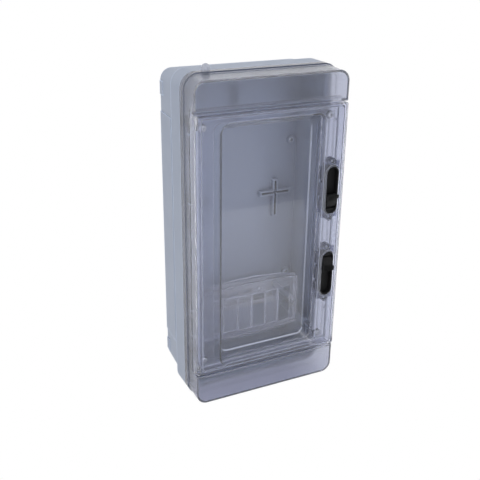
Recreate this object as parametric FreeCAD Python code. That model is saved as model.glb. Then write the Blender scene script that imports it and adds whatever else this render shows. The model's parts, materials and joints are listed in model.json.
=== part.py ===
import FreeCAD, Part
import math
import os

# Electric meter box: a grey moulded base on the wall, a clear cover frame screwed to it, and a clear
# dished door hung on the left and held by two black lever latches. Millimetres, +Z up, front towards -Y.
# The origin is on the wall plane, at the centre of the four wall holes. Depths count from the front face.

# Overall sizes
box_depth = 101.0
front_width = 176.5
bay_height = 297.9
top_band = 32.6
bottom_band = 36.5
front_radius = 12.0
front_edge_radius = 2.5
wall = 2.5

# Base
rim_side_margin = 1.35
rim_end_margin = 3.25
rim_radius = 17.0
rim_depth = 35.7
collar_length = 24.0
tub_side_step = 1.4
tub_side_draft = 2.7
tub_top_step = 6.5
tub_bottom_step = 11.5
tub_radius = 12.5
tub_end_draft = 0.6
panel_half_height = 134.0
panel_proud = 0.8
panel_margin = 5.0
lug_height = 15.0
lug_length = 9.0
hole_side_inset = 14.25
hole_spacing_z = 172.0
hole_radius = 2.5
boss_radius = 4.8
boss_height = 4.5
boss_edge_radius = 0.8
knockout_radius = 10.0
knockout_pitch = 44.0
knockout_groove = 1.2
knockout_depth = 1.4

# Meter fixing channels on the back wall: a pair of crosses and one upright channel above them
channel_width = 2.6
channel_rib = 2.0
channel_height = 6.5
channel_edge_radius = 0.6
cross_spacing = 107.5
cross_drop = 127.3
cross_width = 37.0
cross_above = 14.5
cross_below = 29.0
hook_rise = 88.4
hook_length = 44.0

# Gasket between base and cover
shelf_width = 3.5
shelf_thickness = 2.0
gasket_width = 2.6
gasket_thickness = 1.8
tongue_length = 1.7
tongue_thickness = 1.8
tongue_clearance = 0.5

# Cover frame
flange_length = 8.7
flange_step = 1.2
ledge_depth = 14.0
ledge_edge_radius = 2.0
opening_side_gap = 6.5
opening_end_gap = 2.1
opening_radius = 9.0
gusset_thickness = 1.6
gusset_reach = 6.0
gusset_length = 10.0
gusset_heights = (127.0, 53.0, -71.0, -103.0)

# Cover screws
screw_side_inset = 13.75
screw_top_inset = 16.9
screw_bottom_inset = 13.0
screw_post_radius = 4.6
screw_split = 4.3
screw_radius = 2.0
screw_clearance = 0.25
screw_bite = 14.0
screw_head_radius = 3.8
screw_head_height = 2.2

# Sealing stud on the cover's top flange
stud_x = -63.0
stud_radius = 4.2
stud_height = 7.5

# Door
door_proud = 0.35
seam = 1.6
door_wall = 2.4
door_edge_radius = 1.5
door_corner_radius = 2.5
skirt_gap = 1.0
skirt_rear_radius = 2.0
recess_hinge_margin = 29.6
recess_latch_margin = 3.2
recess_bottom_margin = 5.4
recess_top_margin = 10.6
recess_radius = 10.0
recess_depth = 19.0
recess_taper_x = 8.0
recess_taper_z = 8.6
floor_radius = 7.0
recess_edge_radius = 1.2
floor_edge_radius = 0.8
seal_rib = 1.4
seal_rib_inset = 3.2
seal_rib_hinge_gap = 1.75
seal_width = 2.6
seal_gap = 0.3
seal_height = 2.7

# Hinge
hinge_inset = 2.7
hinge_ledge_gap = 3.4
hinge_pin_radius = 1.3
hinge_clearance = 0.06
hinge_boss_setback = 0.05
hinge_boss_length = 14.0
hinge_socket_length = 8.0
hinge_socket_radius = 3.0

# Latches
latch_edge_margin = 6.8
latch_spacing = 101.3
latch_width = 15.6
latch_length = 54.6
latch_clearance = 0.2
latch_rim = 1.7
latch_rim_proud = 0.8
cup_wall = 1.5
cup_lip = 1.0
cup_ledge_gap = 3.0
pocket_depth = 6.0
pocket_floor = 1.5
pocket_hub_gap = 1.6
end_fill_depth = 1.2
frame_thickness = 2.0
frame_lip = 1.2
frame_rib_gap = 0.8
lug_radius = 4.0
lug_ledge_gap = 4.0
lug_gap = 1.2
clip_reach = 2.4
clip_length = 15.0
clip_pitch = 19.0
clip_count = 3

# Latch levers, measured along the latch from its inner end and in depth
lever_side_gap = 0.4
lever_end_gap = 0.4
lever_length = 23.0
lever_rise = 4.0
lever_undercut = 1.0
lever_lip = 3.2
tab_gap = 0.3
tab_margin = 0.2
tab_setback = 2.6
tab_flare = 2.5
tab_corner = 1.6
pivot_depth = 6.0
pivot_swing_radius = 7.0
hub_radius = 2.8
latch_pin_radius = 1.2
pin_clearance = 0.05
arm_width = 6.0
arm_thickness = 3.0
arm_ledge_reach = 4.0
nose_reach = 1.5
nose_length = 2.5
keeper_clearance = 0.5
keeper_side = 1.5
lever_swing = 40.0

# Latch frame screws
frame_screw_radius = 1.2
frame_screw_head_radius = 2.9
frame_screw_head_height = 1.8
frame_boss_radius = 2.5
frame_boss_clearance = 0.15

# Module row: as many modules as the width holds, with their rail, breaker cover and blanks
module_pitch = 18.0
module_row = ("blank", "blank", "blank", "open", "blank", "open")
module_side_space = 32.0
module_bar = 1.6
module_height = 45.0
module_rise = 44.0
rail_width = 35.0
rail_crown = 25.0
rail_thickness = 1.0
rail_height = 7.5
rail_stand = 4.0
rail_screw_x = 36.0
rail_screw_radius = 2.0
rail_screw_head_radius = 3.6
rail_screw_head_height = 2.0
cover_front_depth = 43.0
cover_bulge = 6.0
cover_skirt_length = 14.0
cover_wall = 2.0
cover_edge_radius = 1.0
cover_margin = 11.5
cover_top_margin = 16.5
cover_top_arch = 6.5
cover_bottom_margin = 8.0
cover_screw_offset = 5.6
cover_screw_radius = 1.7
cover_screw_head_radius = 3.0
cover_screw_head_height = 1.8
cover_post_radius = 3.6
blank_clearance = 0.15
blank_thickness = 1.6
blank_setback = 1.2

# How near two places count as one
match_tolerance = 0.01

V = FreeCAD.Vector
across = V(1, 0, 0)
inwards = V(0, 1, 0)
upwards = V(0, 0, 1)


def at_depth(depth):
    """The row's Y of a depth counted from the front face."""
    return depth - box_depth


def centred(width, height):
    return (-width / 2, width / 2, -height / 2, height / 2)


def grown(box, amount):
    x_low, x_high, z_low, z_high = box
    return (x_low - amount, x_high + amount, z_low - amount, z_high + amount)


def outline(box, radius, y):
    """A rectangle with round corners, upright at y."""
    x_low, x_high, z_low, z_high = box
    bulge = radius * (1 - math.sqrt(0.5))
    corners = [
        (V(x_high - radius, y, z_low), V(x_high - bulge, y, z_low + bulge), V(x_high, y, z_low + radius)),
        (V(x_high, y, z_high - radius), V(x_high - bulge, y, z_high - bulge), V(x_high - radius, y, z_high)),
        (V(x_low + radius, y, z_high), V(x_low + bulge, y, z_high - bulge), V(x_low, y, z_high - radius)),
        (V(x_low, y, z_low + radius), V(x_low + bulge, y, z_low + bulge), V(x_low + radius, y, z_low)),
    ]
    edges = []
    for index, (start, middle, end) in enumerate(corners):
        edges.append(Part.Arc(start, middle, end).toShape())
        following = corners[(index + 1) % len(corners)][0]
        edges.append(Part.LineSegment(end, following).toShape())
    return Part.Wire(edges)


def slab(box, radius, y_front, y_back):
    return Part.Face(outline(box, radius, y_front)).extrude(inwards * (y_back - y_front))


def taper(front_box, front_radius, y_front, back_box, back_radius, y_back):
    wires = [outline(front_box, front_radius, y_front), outline(back_box, back_radius, y_back)]
    return Part.makeLoft(wires, True, True)


def block(x_low, x_high, y_low, y_high, z_low, z_high):
    return Part.makeBox(x_high - x_low, y_high - y_low, z_high - z_low, V(x_low, y_low, z_low))


def rod(x, z, radius, y_front, y_back):
    """A cylinder that runs in depth."""
    return Part.makeCylinder(radius, y_back - y_front, V(x, y_front, z), inwards)


def upright(x, y, radius, z_low, z_high):
    return Part.makeCylinder(radius, z_high - z_low, V(x, y, z_low), upwards)


def stadium(x, z_low, z_high, width, y_front, y_back):
    """A slot-shaped slab, round at its top and bottom."""
    radius = width / 2
    left = x - radius
    right = x + radius
    edges = [
        Part.Arc(V(left, y_front, z_low + radius), V(x, y_front, z_low), V(right, y_front, z_low + radius)),
        Part.LineSegment(V(right, y_front, z_low + radius), V(right, y_front, z_high - radius)),
        Part.Arc(V(right, y_front, z_high - radius), V(x, y_front, z_high),
                 V(left, y_front, z_high - radius)),
        Part.LineSegment(V(left, y_front, z_high - radius), V(left, y_front, z_low + radius)),
    ]
    wire = Part.Wire([edge.toShape() for edge in edges])
    return Part.Face(wire).extrude(inwards * (y_back - y_front))


def side_profile(points, x_low, x_high):
    """A polygon of (depth, z) points, extruded across the box."""
    corners = [V(x_low, at_depth(depth), z) for depth, z in points]
    wire = Part.makePolygon(corners + corners[:1])
    return Part.Face(wire).extrude(across * (x_high - x_low))


def fused(shapes):
    return shapes[0].fuse(shapes[1:]).removeSplitter()


def edges_at(shape, y):
    """The edges that lie wholly at one depth."""
    return [e for e in shape.Edges
            if abs(e.BoundBox.YMin - y) < match_tolerance and abs(e.BoundBox.YMax - y) < match_tolerance]


def edges_within(edges, box):
    """Those edges that lie inside a box's outline or on it."""
    x_low, x_high, z_low, z_high = grown(box, match_tolerance)
    return [e for e in edges
            if e.BoundBox.XMin > x_low and e.BoundBox.XMax < x_high
            and e.BoundBox.ZMin > z_low and e.BoundBox.ZMax < z_high]


def upright_edges(edges, length):
    """Those edges that run upright over at least the given length."""
    return [e for e in edges if e.BoundBox.ZLength > length]


def screw(x, z, head_y, head_radius, head_height, shank_radius, tip_y):
    """A pan-head screw driven inwards, with its head's underside at head_y."""
    head = rod(x, z, head_radius, head_y - head_height, head_y)
    head = head.makeChamfer(head_height / 2, edges_at(head, head_y - head_height))
    return head.fuse(rod(x, z, shank_radius, head_y, tip_y)).removeSplitter()


# Outlines and planes that the pieces share
module_count = int((front_width - 2 * module_side_space) // module_pitch)
module_half_width = module_count * module_pitch / 2
front_height = bottom_band + bay_height + top_band
bay_low_z = -front_height / 2 + bottom_band
bay_high_z = bay_low_z + bay_height
rim_width = front_width + 2 * rim_side_margin
rim_height = front_height + 2 * rim_end_margin
rim_box = centred(rim_width, rim_height)
rim_inner = grown(rim_box, -wall)
tub_low_z = -rim_height / 2 + tub_bottom_step
tub_high_z = rim_height / 2 - tub_top_step
tub_front_x = rim_width / 2 - tub_side_step
tub_rear_x = tub_front_x - tub_side_draft
tub_front_box = (-tub_front_x, tub_front_x, tub_low_z, tub_high_z)
tub_rear_box = (-tub_rear_x, tub_rear_x, tub_low_z + tub_end_draft, tub_high_z - tub_end_draft)
cover_back_box = grown(rim_box, -flange_step)
cover_front_box = centred(front_width, front_height)
y_parting = at_depth(rim_depth)
y_collar = at_depth(rim_depth + collar_length)
y_back_wall = -wall
y_ledge = at_depth(ledge_depth)
y_screw_split = at_depth(rim_depth + screw_split)
screw_x = front_width / 2 - screw_side_inset
cover_screw_places = [(x, z) for x in (-screw_x, screw_x)
                      for z in (bay_low_z + screw_bottom_inset, bay_high_z - screw_top_inset)]
hole_x = front_width / 2 - hole_side_inset
wall_hole_places = [(x, z) for x in (-hole_x, hole_x)
                    for z in (-hole_spacing_z / 2, hole_spacing_z / 2)]
cross_z = bay_high_z - cross_drop

door_box = (-front_width / 2 - door_proud, front_width / 2 + door_proud, bay_low_z + seam, bay_high_z - seam)
door_middle_z = (door_box[2] + door_box[3]) / 2
y_skirt = y_ledge - skirt_gap
y_seal = y_ledge - seal_height
hinge_x = door_box[0] + hinge_inset
y_hinge = y_ledge - hinge_ledge_gap
hinge_boss_radius = hinge_inset - hinge_boss_setback
latch_x = door_box[1] - latch_edge_margin - latch_width / 2
recess_box = (door_box[0] + recess_hinge_margin, latch_x - latch_width / 2 - recess_latch_margin,
              door_box[2] + recess_bottom_margin, door_box[3] - recess_top_margin)
floor_box = (recess_box[0] + recess_taper_x, recess_box[1] - recess_taper_x,
             recess_box[2] + recess_taper_z, recess_box[3] - recess_taper_z)
rib_box = (hinge_x + hinge_boss_radius + seal_rib_hinge_gap, door_box[1] - seal_rib_inset,
           door_box[2] + seal_rib_inset, door_box[3] - seal_rib_inset)
cup_depth = ledge_depth - cup_ledge_gap
lug_depth = ledge_depth - lug_ledge_gap
cup_radius = latch_width / 2 - cup_wall
lever_width = 2 * (cup_radius - lever_side_gap)
cup_end_setback = cup_radius - math.sqrt(cup_radius ** 2 - (lever_width / 2) ** 2)
pivot_offset = cup_wall + cup_end_setback + lever_end_gap + pivot_swing_radius
arm_end_depth = ledge_depth + wall + arm_ledge_reach

module_z = bay_low_z + module_rise
cover_half_width = module_half_width + cover_margin
cover_screw_x = module_half_width + cover_screw_offset
y_rail_back = y_back_wall - rail_stand
y_cover_post = at_depth(cover_front_depth + cover_skirt_length)
y_cover_seat = at_depth(cover_front_depth + cover_bulge + cover_wall)


def section_of_dish(depth):
    """The outside of the door's dish at a depth, as a box."""
    share = depth / recess_depth
    return (recess_box[0] + share * recess_taper_x - door_wall,
            recess_box[1] - share * recess_taper_x + door_wall,
            recess_box[2] + share * recess_taper_z - door_wall,
            recess_box[3] - share * recess_taper_z + door_wall)


def channel(width, low_z, high_z, x):
    """An upright or level screw channel as two blocks: its outside, let into the back wall, and its slot."""
    half_rib = width / 2 + channel_rib
    y_top = y_back_wall - channel_height
    outside = block(x - half_rib, x + half_rib, y_top, y_back_wall / 2,
                    low_z - channel_rib, high_z + channel_rib)
    slot = block(x - width / 2, x + width / 2, y_top, y_back_wall, low_z, high_z)
    return outside, slot


def ribbed(channels):
    """Channels that cross one another, made into one piece with the edges of the ribs' tops rounded."""
    outsides = [outside for outside, slot in channels]
    slots = [slot for outside, slot in channels]
    ribs = fused(outsides) if len(outsides) > 1 else outsides[0]
    ribs = ribs.cut(slots)
    return ribs.makeFillet(channel_edge_radius, edges_at(ribs, y_back_wall - channel_height))


def meter_channels():
    """Pairs of ribs on the back wall with a slot between them, which a screw cuts into anywhere."""
    half_slot = channel_width / 2
    pieces = [ribbed([channel(channel_width, cross_z - cross_below, cross_z + cross_above, x),
                      channel(cross_width, cross_z - half_slot, cross_z + half_slot, x)])
              for x in (-cross_spacing / 2, cross_spacing / 2)]
    hook_z = cross_z + hook_rise
    pieces.append(ribbed([channel(channel_width, hook_z, hook_z + hook_length, 0)]))
    return pieces


def wall_boss(x, z):
    """A round boss on the back wall, where a wall screw goes through."""
    y_top = y_back_wall - boss_height
    boss = rod(x, z, boss_radius, y_top, y_back_wall / 2)
    return boss.makeFillet(boss_edge_radius, edges_at(boss, y_top))


def base_tub():
    """The base: a deep collar at the cover and a drafted tub behind it, stepped in at top and bottom."""
    outer = [slab(rim_box, rim_radius, y_parting, y_collar),
             taper(tub_front_box, tub_radius, y_collar, tub_rear_box, tub_radius, 0)]
    panel_z = (-panel_half_height, panel_half_height)
    lug_z = (tub_low_z + tub_end_draft + tub_radius, tub_high_z - tub_end_draft - tub_radius)
    for side in (-1, 1):
        front_x = side * tub_front_x
        rear_x = side * tub_rear_x
        for z_low, z_high, y_front in ((panel_z[0], panel_z[1], y_collar + panel_margin),
                                       (lug_z[0], lug_z[0] + lug_height, -lug_length),
                                       (lug_z[1] - lug_height, lug_z[1], -lug_length)):
            outer.append(side_panel(front_x, rear_x, side, z_low, z_high, y_front))
    shell = fused(outer)
    collar_hollow = slab(rim_inner, rim_radius - wall, y_parting, y_collar - wall)
    tub_hollow = taper(grown(tub_front_box, -wall), tub_radius - wall, y_collar - wall,
                       grown(tub_rear_box, -wall), tub_radius - wall, y_back_wall)
    shell = shell.cut([collar_hollow, tub_hollow])

    shelf_front = y_parting + tongue_length + gasket_thickness
    shelf = slab(rim_box, rim_radius, shelf_front, shelf_front + shelf_thickness)
    shelf = shelf.common(slab(grown(rim_inner, wall / 2), rim_radius - wall / 2, y_parting, y_collar))
    shelf = shelf.cut(slab(grown(rim_inner, -shelf_width), rim_radius - wall - shelf_width,
                           y_parting, y_collar))

    posts = [rod(x, z, screw_post_radius, y_screw_split, y_back_wall / 2) for x, z in cover_screw_places]
    posts += [wall_boss(x, z) for x, z in wall_hole_places]
    posts += [rod(x, module_z, cover_post_radius, y_cover_post, y_back_wall / 2)
              for x in (-cover_screw_x, cover_screw_x)]
    posts += [rod(x, module_z, boss_radius, y_rail_back, y_back_wall / 2)
              for x in (-rail_screw_x, rail_screw_x)]
    holes = [rod(x, z, screw_radius, y_screw_split, y_screw_split + screw_bite)
             for x, z in cover_screw_places]
    holes += [rod(x, z, hole_radius, y_back_wall - boss_height, 0) for x, z in wall_hole_places]
    holes += [rod(x, module_z, cover_screw_radius, y_cover_post, y_cover_post + screw_bite)
              for x in (-cover_screw_x, cover_screw_x)]
    holes += [rod(x, module_z, rail_screw_radius, y_rail_back, y_back_wall)
              for x in (-rail_screw_x, rail_screw_x)]
    shell = fused([shell, shelf] + meter_channels() + posts)
    return shell.cut(holes + knockouts())


def side_panel(front_x, rear_x, side, z_low, z_high, y_front):
    """A shallow raised patch on the drafted side of the tub, running back to the wall."""
    proud = side * panel_proud
    slope = (rear_x - front_x) / -y_collar
    start_x = front_x + slope * (y_front - y_collar)
    inner = side * wall / 2
    points = [V(start_x - inner, y_front, z_low), V(start_x, y_front, z_low),
              V(start_x + proud, y_front + panel_proud, z_low), V(rear_x + proud, 0, z_low),
              V(rear_x - inner, 0, z_low)]
    face = Part.Face(Part.makePolygon(points + points[:1]))
    return face.extrude(upwards * (z_high - z_low))


def knockouts():
    """Round scored outlines in the tub's lower wall, where cables are let in."""
    middle_y = (y_collar + y_back_wall) / 2
    grooves = []
    for x in (-knockout_pitch, 0, knockout_pitch):
        low = tub_low_z - tub_end_draft
        top = tub_low_z + tub_end_draft / 2 + knockout_depth
        ring = upright(x, middle_y, knockout_radius, low, top)
        grooves.append(ring.cut(upright(x, middle_y, knockout_radius - knockout_groove, low, top)))
    return grooves


def base_gasket():
    front = y_parting + tongue_length
    middle = grown(rim_inner, -shelf_width / 2)
    radius = rim_radius - wall - shelf_width / 2
    half = gasket_width / 2
    ring = slab(grown(middle, half), radius + half, front, front + gasket_thickness)
    return ring.cut(slab(grown(middle, -half), radius - half, front, front + gasket_thickness))


def cover_frame():
    """The clear cover: bands above and below a bay for the door, a ledge behind it and a flange all round."""
    y_front = at_depth(0)
    y_flange = y_parting - flange_length
    back_radius = rim_radius - flange_step
    outer = taper(cover_front_box, front_radius, y_front, cover_back_box, back_radius, y_parting)
    outer = outer.makeFillet(front_edge_radius, edges_at(outer, y_front))
    bay_x = rim_width
    bay = block(-bay_x, bay_x, y_front - wall, y_ledge, bay_low_z, bay_high_z)
    body = outer.cut(bay)
    sides = upright_edges(edges_at(body, y_ledge), bay_height / 2)
    body = body.makeFillet(ledge_edge_radius, sides)
    body = body.fuse(slab(rim_box, rim_radius, y_flange, y_parting))

    hollow = taper(grown(cover_front_box, -wall), front_radius - wall, y_front + wall,
                   grown(cover_back_box, -wall), back_radius - wall, y_parting)
    hollow = hollow.cut(block(-bay_x, bay_x, y_front, y_ledge + wall, bay_low_z - wall, bay_high_z + wall))
    body = body.cut(hollow)

    tongue_outer = grown(rim_inner, -tongue_clearance)
    tongue_radius = rim_radius - wall - tongue_clearance
    tongue_front = y_parting - wall
    tongue_back = y_parting + tongue_length
    tongue = slab(tongue_outer, tongue_radius, tongue_front, tongue_back)
    tongue = tongue.cut(slab(grown(tongue_outer, -tongue_thickness), tongue_radius - tongue_thickness,
                             tongue_front, tongue_back))
    posts = [rod(x, z, screw_post_radius, y_ledge + wall / 2, y_screw_split) for x, z in cover_screw_places]
    sockets = [hinge_socket(outer, z_low) for z_low in socket_starts()]
    body = fused([body, tongue] + posts + cover_gussets() + sockets)

    dish = section_of_dish(ledge_depth)
    opening = (dish[0] - opening_side_gap, dish[1] + opening_side_gap,
               dish[2] - opening_end_gap, dish[3] + opening_end_gap)
    cuts = [slab(opening, opening_radius, y_ledge - wall, y_ledge + 2 * wall)]
    cuts += [rod(x, z, screw_radius + screw_clearance, y_ledge, y_screw_split) for x, z in cover_screw_places]
    cuts += [hinge_pin(z_low) for z_low in pin_starts()]
    cuts += [keeper_slot(direction) for direction in (1, -1)]
    return body.cut(cuts)


def cover_gussets():
    """Small ribs that brace the cover's side walls against the ledge."""
    gussets = []
    wall_x = front_width / 2 - wall / 2
    y_low = y_ledge + wall / 2
    for side in (-1, 1):
        for z in gusset_heights:
            points = [V(side * wall_x, y_low, z), V(side * (wall_x - gusset_reach), y_low, z),
                      V(side * wall_x, y_low + gusset_length, z)]
            face = Part.Face(Part.makePolygon(points + points[:1]))
            gussets.append(face.extrude(upwards * gusset_thickness))
    return gussets


def socket_starts():
    return (bay_low_z - wall / 2 - hinge_socket_length, bay_high_z + wall / 2)


def pin_starts():
    """The lower ends of the two hinge pins, each half in a band and half in the door."""
    return (bay_low_z - hinge_socket_length, door_box[3] - hinge_boss_length + hinge_socket_length / 2)


def hinge_socket(limit, z_low):
    """A boss inside a band that holds a hinge pin, kept within the cover's outer skin."""
    return upright(hinge_x, y_hinge, hinge_socket_radius, z_low, z_low + hinge_socket_length).common(limit)


def hinge_pin(z_low):
    """A steel pin that stands in a band's socket and reaches into the door's boss."""
    length = hinge_socket_length + seam + hinge_boss_length - hinge_socket_length / 2
    return upright(hinge_x, y_hinge, hinge_pin_radius, z_low, z_low + length)


def keeper_slot(direction):
    """The slot in the ledge that a latch's hook goes through."""
    reach = arm_end_depth - pivot_depth
    swing = math.radians(lever_swing)
    far = pivot_offset + reach * math.sin(swing) + arm_thickness / 2 + keeper_clearance
    near = pivot_offset - arm_thickness / 2 - nose_reach - keeper_clearance
    ends = sorted(latch_z(direction, offset) for offset in (near, far))
    half = arm_width / 2 + keeper_side
    return block(latch_x - half, latch_x + half, y_ledge - wall, y_ledge + 2 * wall, ends[0], ends[1])


def cover_screws():
    tip = y_screw_split + screw_bite
    return Part.Compound([screw(x, z, y_ledge, screw_head_radius, screw_head_height, screw_radius, tip)
                          for x, z in cover_screw_places])


def seal_stud():
    """A domed stud that stands on the cover's top flange."""
    middle_y = y_parting - flange_length / 2
    foot_z = rim_height / 2
    straight = upright(stud_x, middle_y, stud_radius, foot_z, foot_z + stud_height - stud_radius)
    dome = Part.makeSphere(stud_radius, V(stud_x, middle_y, foot_z + stud_height - stud_radius))
    whole = straight.fuse(dome)
    return whole.common(upright(stud_x, middle_y, stud_radius, foot_z, foot_z + stud_height)).removeSplitter()


def door_seal():
    half_spare = (seal_width - seal_rib) / 2
    outer = grown(rib_box, half_spare)
    ring = slab(outer, door_corner_radius, y_seal, y_ledge)
    return ring.cut(slab(grown(outer, -seal_width), door_corner_radius, y_seal, y_ledge))


def latch_z(direction, offset):
    """The height of a point at an offset along a latch from its inner end. The upper latch's direction is 1,
    the lower one's is -1."""
    inner_end = door_middle_z + direction * (latch_spacing - latch_length) / 2
    return inner_end + direction * offset


def latch_span(direction, margin):
    return sorted((latch_z(direction, -margin), latch_z(direction, latch_length + margin)))


def frame_screw_heights(direction):
    offset = lug_gap + lug_radius
    return [latch_z(direction, -offset), latch_z(direction, latch_length + offset)]


def door():
    """The clear door: a skirted panel with a deep dished window, hinge bosses and two latch openings."""
    y_front = at_depth(0)
    y_inside = y_front + door_wall
    panel = slab(door_box, door_corner_radius, y_front, y_skirt)
    panel = panel.makeFillet(door_edge_radius, edges_at(panel, y_front))
    panel = panel.makeFillet(skirt_rear_radius, upright_edges(edges_at(panel, y_skirt), bay_height / 2))
    outer = panel.copy()
    panel = panel.cut(slab(grown(door_box, -door_wall), door_corner_radius, y_inside, y_skirt))

    y_floor = at_depth(recess_depth)
    dish = taper(grown(recess_box, door_wall), recess_radius + door_wall, y_front,
                 grown(floor_box, door_wall), floor_radius + door_wall, y_floor + door_wall)
    dish = dish.makeFillet(floor_edge_radius + door_wall / 2, edges_at(dish, y_floor + door_wall))
    dish = dish.common(block(door_box[0], door_box[1], y_front + door_wall / 2, y_floor + door_wall,
                             door_box[2] + door_wall / 2, door_box[3] - door_wall / 2))
    rib = slab(rib_box, door_corner_radius, y_inside - door_wall / 2, y_seal - seal_gap)
    rib = rib.cut(slab(grown(rib_box, -seal_rib), door_corner_radius, y_front, y_seal))
    bosses = [upright(hinge_x, y_hinge, hinge_boss_radius, z_low, z_low + hinge_boss_length)
              for z_low in (door_box[2], door_box[3] - hinge_boss_length)]
    webs = [block(hinge_x - hinge_boss_radius / 2, hinge_x + hinge_boss_radius,
                  y_front + door_wall / 2, y_hinge, z_low, z_low + hinge_boss_length).common(outer)
            for z_low in (door_box[2], door_box[3] - hinge_boss_length)]
    pieces = [panel, dish, rib] + bosses + webs
    recess = taper(recess_box, recess_radius, y_front, floor_box, floor_radius, y_floor)
    cuts = [recess.makeFillet(floor_edge_radius, edges_at(recess, y_floor))]
    bore = hinge_pin_radius + hinge_clearance
    cuts += [upright(hinge_x, y_hinge, bore, z_low - seam, z_low + hinge_boss_length + seam)
             for z_low in (door_box[2], door_box[3] - hinge_boss_length)]
    for direction in (1, -1):
        z_low, z_high = latch_span(direction, latch_clearance)
        opening_width = latch_width + 2 * latch_clearance
        pieces.append(stadium(latch_x, z_low - latch_rim, z_high + latch_rim, opening_width + 2 * latch_rim,
                              y_front - latch_rim_proud, y_inside))
        cuts.append(stadium(latch_x, z_low, z_high, opening_width, y_front - latch_rim_proud, y_skirt))
        for z in frame_screw_heights(direction):
            pieces.append(rod(latch_x, z, frame_boss_radius, y_inside - door_wall / 2, at_depth(lug_depth)))
            cuts.append(rod(latch_x, z, frame_screw_radius, y_inside + door_wall, at_depth(lug_depth)))
    body = fused(pieces).cut(cuts)
    return body.makeFillet(recess_edge_radius, edges_within(edges_at(body, y_front), recess_box))


def latch_case(direction):
    """The black latch cup: slot-shaped, lipped behind the door's face, with a finger pocket beyond the lever
    and its inner end filled behind the lever's root."""
    y_front = at_depth(0)
    y_lip = y_front + door_wall
    y_cup = at_depth(cup_depth)
    z_low, z_high = latch_span(direction, 0)
    lip_low, lip_high = latch_span(direction, cup_lip)
    cup = fused([stadium(latch_x, z_low, z_high, latch_width, y_front, y_cup),
                 stadium(latch_x, lip_low, lip_high, latch_width + 2 * cup_lip, y_lip, y_lip + cup_lip)])
    cup = cup.cut(stadium(latch_x, z_low + cup_wall, z_high - cup_wall, latch_width - 2 * cup_wall,
                          y_front, y_cup))
    pocket = stadium(latch_x, z_low + cup_wall / 2, z_high - cup_wall / 2, latch_width - cup_wall,
                     at_depth(pocket_depth), at_depth(pocket_depth + pocket_floor))
    pocket_start = pivot_offset + hub_radius + pocket_hub_gap
    pocket_ends = sorted((latch_z(direction, pocket_start), latch_z(direction, latch_length)))
    pocket = pocket.common(block(latch_x - latch_width, latch_x + latch_width, y_front, y_cup,
                                 pocket_ends[0], pocket_ends[1]))
    fill_ends = sorted((latch_z(direction, 0), latch_z(direction, cup_wall + cup_end_setback)))
    fill = stadium(latch_x, z_low, z_high, latch_width, at_depth(end_fill_depth), y_cup)
    fill = fill.common(block(latch_x - latch_width, latch_x + latch_width, y_front, y_cup,
                             fill_ends[0], fill_ends[1]))
    return fused([cup, pocket, fill]).cut(latch_pin(direction))


def latch_frame(direction):
    """The clear frame that clamps a latch cup's lip to the door, with a screw lug at each end and clips at
    its side."""
    y_inside = at_depth(door_wall)
    y_front = y_inside + cup_lip
    y_back = y_front + frame_thickness
    cup_left = latch_x - latch_width / 2
    low, high = latch_span(direction, lug_gap + lug_radius)
    pieces = [block(cup_left - frame_lip, rib_box[1] - seal_rib - frame_rib_gap, y_front, y_back, low, high)]
    cuts = []
    for z in frame_screw_heights(direction):
        pieces.append(rod(latch_x, z, lug_radius, y_inside, at_depth(lug_depth)))
        cuts.append(rod(latch_x, z, frame_boss_radius + frame_boss_clearance, y_inside, at_depth(lug_depth)))
    hole_low, hole_high = latch_span(direction, latch_clearance)
    cuts.append(stadium(latch_x, hole_low, hole_high, latch_width + 2 * latch_clearance, y_front, y_back))
    middle_z = latch_z(direction, latch_length / 2)
    for index in range(clip_count):
        z = middle_z + (index - (clip_count - 1) / 2) * clip_pitch
        pieces.append(block(cup_left - clip_reach, cup_left - latch_clearance, y_back, at_depth(cup_depth),
                            z - clip_length / 2, z + clip_length / 2))
    return fused(pieces).cut(cuts)


def latch_pin(direction):
    """The steel pin that a lever turns on, from wall to wall of its case."""
    half = latch_width / 2
    start = V(latch_x - half, at_depth(pivot_depth), latch_z(direction, pivot_offset))
    return Part.makeCylinder(latch_pin_radius, 2 * half, start, across)


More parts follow.
